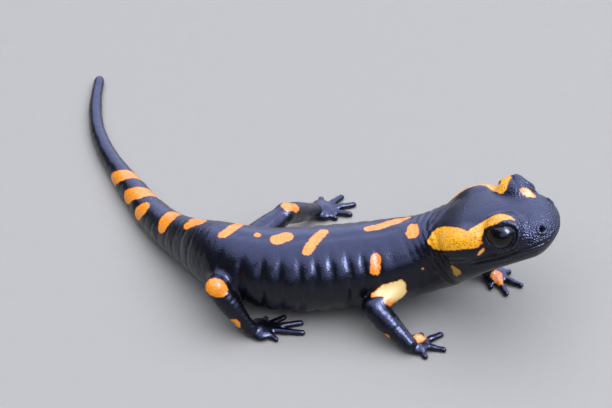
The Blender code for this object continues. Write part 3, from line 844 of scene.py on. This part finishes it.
def wet_skin(skin):
    """Living amphibian skin: smooth black hide under a film of slime, so it mirrors light from above in a
    soft pale sheen; orange chromatophore patches have ragged rims, and gland pores dot them."""
    look, tree, surface = new_material("wet_amphibian_skin")
    where = add(tree, "TexCoord", output="Object")
    painted = {name: add(tree, "Attribute", output="Fac", attribute_name=name) for name in PAINTED}
    grain = {}
    for size in (0.16, 0.35, 0.45, 0.5, 0.9, 1.1, 1.3):
        detail = 3.0 if size == 0.45 else 2.0
        grain[size] = add(tree, "TexNoise", {"Vector": where, "Scale": per(size), "Detail": detail})
    # Poison pores 0.34 mm apart, only in the patches on the glands and brows.
    cells = add(tree, "TexVoronoi", {"Vector": where, "Scale": per(0.34), "Randomness": 0.85})
    # Fine grain of the hide: rounded granules 0.24 mm apart, high on the snout and low on the crown.
    granules = add(
        tree, "TexVoronoi", {"Vector": where, "Scale": per(0.24), "Smoothness": 0.5}, feature="SMOOTH_F1"
    )
    # Ragged rims: a patch's depth is stirred by grains of 0.5 and 0.16 mm.
    stir = -0.4
    for size, most in ((0.5, 0.5), (0.16, 0.3)):
        stir = add(tree, "Math", {0: grain[size], 1: most, 2: stir}, operation="MULTIPLY_ADD")
    orange, pale, dull = (
        add(tree, "Math", {0: painted[name], 1: stir}, operation="ADD")
        for name in ("orange_depth", "pale_and_highlight_depth", "dull_depth")
    )

    # Each share of the skin rises softly from 0 between two values, to its most.
    share = {
        name: add(
            tree, "MapRange", {"Value": value, "From Min": low, "From Max": high, "To Max": most},
            interpolation_type="SMOOTHSTEP",
        )
        for name, value, low, high, most in (
            ("orange", orange, -0.05, 0.07, 1.0),
            ("rim", orange, 0.22, 0.0, 1.0),
            # pale: cream over the patches, partly their own colour and partly a painted highlight
            ("pale", pale, -0.4, 0.6, 0.92),
            ("dull", dull, -0.05, 0.2, 0.85),
            ("gland", painted["pored_depth"], -0.6, 0.2, 1.0),
            ("pored", painted["pored_depth"], 0.0, 0.4, 1.0),
            ("pore", cells, 0.55, 0.2, 1.0),
            ("strewn", grain[1.1], 0.15, 0.45, 1.0),
            ("fleck", grain[0.35], 0.35, 0.65, 1.0),
        )
    }
    pores = add(tree, "Math", {0: share["pore"], 1: share["pored"]}, operation="MULTIPLY")
    pores = add(tree, "Math", {0: pores, 1: share["strewn"]}, operation="MULTIPLY")
    seen_pores = add(tree, "Math", {0: pores, 1: 0.7}, operation="MULTIPLY")

    hide = add(tree, "Mix", {"Factor": grain[0.9], 6: linear("#040406"), 7: linear("#0B0B0F")}, **LAYER)
    hide = add(tree, "Mix", {"Factor": share["dull"], 6: hide, 7: linear("#D2A040")}, **LAYER)
    patch, gland = (
        add(tree, "Mix", {"Factor": share["fleck"], 6: (*deep, 1), 7: linear(light)}, **LAYER)
        for deep, light in ((skin.orange, "#FFA42C"), (skin.gland_orange, "#FFC432"))
    )
    # The cream laid over the patches by the pale share is in part a painted highlight.
    for part, over in (
        (share["gland"], gland), (share["pale"], linear("#FFE49A")), (share["rim"], linear("#E47E0C")),
        (seen_pores, linear("#B05E08")),
    ):
        patch = add(tree, "Mix", {"Factor": part, 6: patch, 7: over}, **LAYER)
    colour = add(tree, "Mix", {"Factor": share["orange"], 6: hide, 7: patch}, **LAYER)

    height = add(tree, "Math", {0: painted["grain"], 1: -0.11}, operation="MULTIPLY")
    height = add(tree, "Math", {0: granules, 1: height}, operation="MULTIPLY")
    for what, tall in ((grain[0.45], 0.01), (pores, -0.012)):
        height = add(tree, "Math", {0: what, 1: tall, 2: height}, operation="MULTIPLY_ADD")
    bump = add(tree, "Bump", {"Strength": 1.0, "Distance": MM, "Height": height})

    # Painted shade: inside the nostrils the reflection and the slime are taken out and the roughness
    # raised, so the holes look black as deep shade; wet is the share outside that painted shade. The slime
    # lies thinner on the patches.
    wet = add(tree, "Math", {0: 1.0, 1: painted["nostril_painted_shade"]}, operation="SUBTRACT")
    mirror = add(tree, "Math", {0: wet, 1: 0.5}, operation="MULTIPLY")
    rough = add(tree, "Math", {0: grain[1.3], 1: 0.14, 2: skin.roughness - 0.07}, operation="MULTIPLY_ADD")
    rough = add(tree, "Math", {0: painted["nostril_painted_shade"], 1: 0.6, 2: rough}, operation="MULTIPLY_ADD")
    slime = add(tree, "Math", {0: share["orange"], 1: -0.2, 2: 0.3}, operation="MULTIPLY_ADD")
    slime = add(tree, "Math", {0: wet, 1: slime}, operation="MULTIPLY")
    # The bluish specular tint is painted sky light: it colours every reflection on the skin blue, as a blue
    # sky's light would.
    fill(tree, surface, {
        "Base Color": colour, "Roughness": rough, "IOR": 1.37, "Specular IOR Level": mirror,
        "Specular Tint": linear("#DCE2FF"), "Coat Weight": slime, "Coat Roughness": 0.17, "Coat IOR": 1.33,
        "Normal": bump, "Coat Normal": bump,
    })
    return look


def wet_eye(eye):
    """A wet cornea over a near-black brown iris: one clear, sharp mirror of the lights, and a hint of brown
    round the pupil where light gets in."""
    look, tree, surface = new_material("wet_dark_eye")
    angle = add(tree, "Attribute", output="Fac", attribute_name="gaze_angle")
    where = add(tree, "TexCoord", output="Object")
    flecks = add(tree, "TexNoise", {"Vector": where, "Scale": per(0.18), "Detail": 3.0})
    iris = add(tree, "Mix", {"Factor": flecks, 6: linear("#0A0604"), 7: (*eye.iris, 1)}, **LAYER)
    # The pupil reaches 25 degrees out from the gaze and the iris about 55, where it darkens.
    outwards = add(tree, "MapRange", {"Value": angle, "From Min": 0.0, "From Max": 90.0})
    rings = add(tree, "ValToRGB", {"Fac": outwards}, output="Color")
    stops = rings.node.color_ramp.elements
    stops[0].position, stops[0].color = 0.26, (0, 0, 0, 1)
    stops[1].position, stops[1].color = 0.29, (1, 1, 1, 1)
    stops.new(0.58).color = (1, 1, 1, 1)
    stops.new(0.66).color = (0.15, 0.15, 0.15, 1)
    colour = add(tree, "Mix", {"Factor": rings, 6: linear("#020202"), 7: iris}, **LAYER)
    fill(tree, surface, {
        "Base Color": colour, "Roughness": 0.3, "Specular IOR Level": 0.1,
        "Coat Weight": 0.8, "Coat Roughness": 0.02, "Coat IOR": 1.336,
    })
    return look


def matt_paper(stage):
    """A pale matt paper sweep: even and soft, with no shine."""
    look, tree, surface = new_material("pale_matt_paper")
    where = add(tree, "TexCoord", output="Object")
    fibre = add(tree, "TexNoise", {"Vector": where, "Scale": per(2.0), "Detail": 2.0})
    pale = Vector(stage.floor_colour)
    colour = add(tree, "Mix", {"Factor": fibre, 6: (*pale * 0.97, 1), 7: (*pale, 1)}, **LAYER)
    fill(tree, surface, {"Base Color": colour, "Roughness": 0.9, "Specular IOR Level": 0.15})
    return look


# ---------------- settings, pieces and stage


class SalamanderSkin(bpy.types.PropertyGroup):
    """Settings of the skin."""

    face_size: FloatProperty(
        name="Face size", description="Size of the skin's faces away from the head, in millimetres",
        default=0.36, min=0.15, max=1.0,
    )
    orange: FloatVectorProperty(
        name="Orange", description="Colour of the patches", subtype="COLOR", size=3, min=0, max=1,
        default=linear("#F98E0A")[:3],
    )
    gland_orange: FloatVectorProperty(
        name="Gland orange", description="Colour of the patches over glands and lids", subtype="COLOR",
        size=3, min=0, max=1, default=linear("#FFAC0C")[:3],
    )
    roughness: FloatProperty(
        name="Roughness", description="How far the wet hide blurs what it mirrors", subtype="FACTOR",
        default=0.3, min=0, max=1,
    )


class SalamanderEye(bpy.types.PropertyGroup):
    """Settings of the eyes."""

    cornea: FloatProperty(
        name="Cornea", description="How far the cornea stands out, as a share of the eyeball's radius",
        subtype="FACTOR", default=0.03, min=0, max=0.2,
    )
    iris: FloatVectorProperty(
        name="Iris", description="Lightest colour in the iris", subtype="COLOR", size=3, min=0, max=1,
        default=linear("#140D08")[:3],
    )


class SalamanderStage(bpy.types.PropertyGroup):
    """Settings of the studio."""

    elevation: FloatProperty(
        name="Camera elevation", description="How steeply the camera looks down", subtype="ANGLE",
        unit="ROTATION", default=math.radians(42),
    )
    distance: FloatProperty(
        name="Camera distance", description="From the camera to what it aims at", unit="LENGTH",
        default=0.43,
    )
    lens: FloatProperty(
        name="Lens", description="Focal length for a 36 mm wide sensor, in millimetres", unit="CAMERA",
        default=172.35,
    )
    aim: FloatVectorProperty(
        name="Aim", description="What the camera aims at, from the middle of the model's underside",
        subtype="TRANSLATION", unit="LENGTH", size=3, default=(-0.00097, -0.00572, 0.007),
    )
    floor_size: FloatProperty(
        name="Floor size", description="Width of the floor", unit="LENGTH", default=3.0
    )
    floor_colour: FloatVectorProperty(
        name="Floor colour", description="Colour of the floor", subtype="COLOR", size=3, min=0, max=1,
        default=linear("#A5A39C")[:3],
    )
    soft_light: FloatProperty(
        name="Soft light", description="Power of the broad light overhead", unit="POWER", default=28.0
    )
    sky_panel: FloatProperty(
        name="Sky panel", description="Power of the panel wet skin mirrors", unit="POWER", default=130.0
    )
    window: FloatProperty(
        name="Window", description="Power behind the two small panels that the eyes mirror", unit="POWER",
        default=14.0,
    )


def put(name, mesh, look):
    """Adds a finished piece at the origin, in its material, smooth shaded and hung under the root."""
    piece = bpy.data.objects.new(name, mesh)
    bpy.context.scene.collection.objects.link(piece)
    mesh.materials.clear()
    mesh.materials.append(look)
    mesh.polygons.foreach_set("use_smooth", np.ones(len(mesh.polygons), bool))
    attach(piece, "root")
    return piece


class SALAMANDER_OT_skin(bpy.types.Operator):
    """Make one skin over the head, body, tail and limbs, with its folds and markings"""

    bl_idname = "salamander.skin"
    bl_label = "Skin"

    def execute(self, context):
        settings = context.scene.salamander_skin
        mesh, points = skin_mesh("skin", settings.face_size * (1))
        paint(mesh, points)
        skin = put("skin", mesh, wet_skin(settings))
        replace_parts(skin, *(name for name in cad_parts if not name.startswith("eye_")))
        return {"FINISHED"}


class SALAMANDER_OT_eyes(bpy.types.Operator):
    """Make both eyeballs, each with its cornea standing out a little"""

    bl_idname = "salamander.eyes"
    bl_label = "Eyes"

    def execute(self, context):
        settings = context.scene.salamander_eye
        look = wet_eye(settings)
        for hand, seat in SEATS.items():
            form = bmesh.new()
            turn = Vector(seat["gaze"]).to_track_quat("Z", "Y").to_matrix().to_4x4()
            bmesh.ops.create_uvsphere(form, u_segments=72, v_segments=40, radius=1.0)
            angles = []
            for corner in form.verts:
                angle = math.degrees(corner.co.angle(Vector((0, 0, 1))))
                corner.co *= seat["radius"] * (1 + settings.cornea * math.exp(-((angle / 38) ** 4)))
                angles.append(angle)
            place = Matrix.Scale(MM, 4) @ Matrix.Translation(Vector(seat["middle"])) @ turn
            bmesh.ops.transform(form, matrix=place, verts=form.verts)
            mesh = bpy.data.meshes.new(f"eyeball_{hand}")
            form.to_mesh(mesh)
            form.free()
            mesh.attributes.new("gaze_angle", "FLOAT", "POINT").data.foreach_set("value", angles)
            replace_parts(put(f"eyeball_{hand}", mesh, look), f"eye_{hand}")
        return {"FINISHED"}


class SALAMANDER_OT_stage(bpy.types.Operator):
    """Make the floor, the soft lights and the camera"""

    bl_idname = "salamander.stage"
    bl_label = "Stage"

    def execute(self, context):
        settings = context.scene.salamander_stage
        scene = context.scene
        form = bmesh.new()
        bmesh.ops.create_grid(form, x_segments=8, y_segments=8, size=settings.floor_size / 2)
        mesh = bpy.data.meshes.new("floor")
        form.to_mesh(mesh)
        form.free()
        mesh.materials.append(matt_paper(settings))
        floor = bpy.data.objects.new("floor", mesh)
        scene.collection.objects.link(floor)

        low, high = CAD_BOX
        middle = Vector(((low[0] + high[0]) / 2, (low[1] + high[1]) / 2, low[2]))
        lights = (
            # name, way it comes from, distance, width, depth, spread, power, colour
            ("soft_light", (0.15, -0.05, 1.0), 0.95, 1.8, 1.5, 180, settings.soft_light, "#EEF1FF"),
            ("sky_panel", (0.3, 0.45, 1.0), 0.8, 3.2, 3.0, 150, settings.sky_panel, "#BEC8FF"),
            ("front_panel", (0.25, -0.8, 0.55), 0.9, 0.9, 0.4, 180, 0.024 * settings.sky_panel, "#BEC8FF"),
            ("high_window", (0.42, -0.04, 0.9), 0.85, 0.7, 0.2, 180, 0.3 * settings.window, "#D2DAFF"),
            ("low_window", (0.64, -0.34, 0.69), 0.85, 0.3, 0.44, 180, 1.35 * settings.window, "#D2DAFF"),
        )
        for name, way, distance, width, depth, spread, power, colour in lights:
            lamp = bpy.data.lights.new(name, "AREA")
            lamp.shape = "RECTANGLE"
            lamp.size, lamp.size_y = width, depth
            lamp.spread = math.radians(spread)
            lamp.energy = power
            lamp.color = linear(colour)[:3]
            light = bpy.data.objects.new(name, lamp)
            way = Vector(way).normalized()
            light.location = middle + way * distance
            light.rotation_euler = way.to_track_quat("Z", "Y").to_euler()
            light.visible_camera = False
            # The soft light lights surfaces; the other panels are only mirrored in them.
            light.visible_diffuse = name == "soft_light"
            light.visible_glossy = not light.visible_diffuse
            scene.collection.objects.link(light)

        world = bpy.data.worlds.new("soft_room")
        world.use_nodes = True
        back = world.node_tree.nodes["Background"]
        back.inputs["Color"].default_value = linear("#C9D0DC")
        back.inputs["Strength"].default_value = 0.2
        scene.world = world

        lens = bpy.data.cameras.new("camera")
        lens.lens = settings.lens
        lens.sensor_width = 36
        lens.clip_start = 0.01
        camera = bpy.data.objects.new("camera", lens)
        back_off = Vector((0, -math.cos(settings.elevation), math.sin(settings.elevation)))
        camera.location = middle + Vector(settings.aim) + back_off * settings.distance
        camera.rotation_euler = (math.pi / 2 - settings.elevation, 0, 0)
        scene.collection.objects.link(camera)
        scene.camera = camera
        scene.view_settings.view_transform = "Standard"
        return {"FINISHED"}


class SALAMANDER_PT_figure(bpy.types.Panel):
    """The figure's settings and the buttons that make it"""

    bl_label = "Salamander"
    bl_space_type = "VIEW_3D"
    bl_region_type = "UI"
    bl_category = "Salamander"

    def draw(self, context):
        for name, group, made_by in (
            ("Skin", context.scene.salamander_skin, SALAMANDER_OT_skin),
            ("Eyes", context.scene.salamander_eye, SALAMANDER_OT_eyes),
            ("Stage", context.scene.salamander_stage, SALAMANDER_OT_stage),
        ):
            box = self.layout.box()
            box.label(text=name)
            for key in group.__annotations__:
                box.prop(group, key)
            box.operator(made_by.bl_idname)


GROUPS = {
    "salamander_skin": SalamanderSkin, "salamander_eye": SalamanderEye, "salamander_stage": SalamanderStage,
}
CLASSES = (
    *GROUPS.values(), SALAMANDER_OT_skin, SALAMANDER_OT_eyes, SALAMANDER_OT_stage, SALAMANDER_PT_figure,
)


def register():
    """Registers the classes and the scene's settings."""
    for cls in CLASSES:
        bpy.utils.register_class(cls)
    for name, group in GROUPS.items():
        setattr(bpy.types.Scene, name, PointerProperty(type=group))


def unregister():
    """Takes the settings and the classes away again."""
    for name in GROUPS:
        delattr(bpy.types.Scene, name)
    for cls in reversed(CLASSES):
        bpy.utils.unregister_class(cls)


def main():
    """Makes every piece and the stage."""
    register()
    bpy.ops.salamander.skin()
    bpy.ops.salamander.eyes()
    bpy.ops.salamander.stage()


if __name__ == "__main__":
    main()
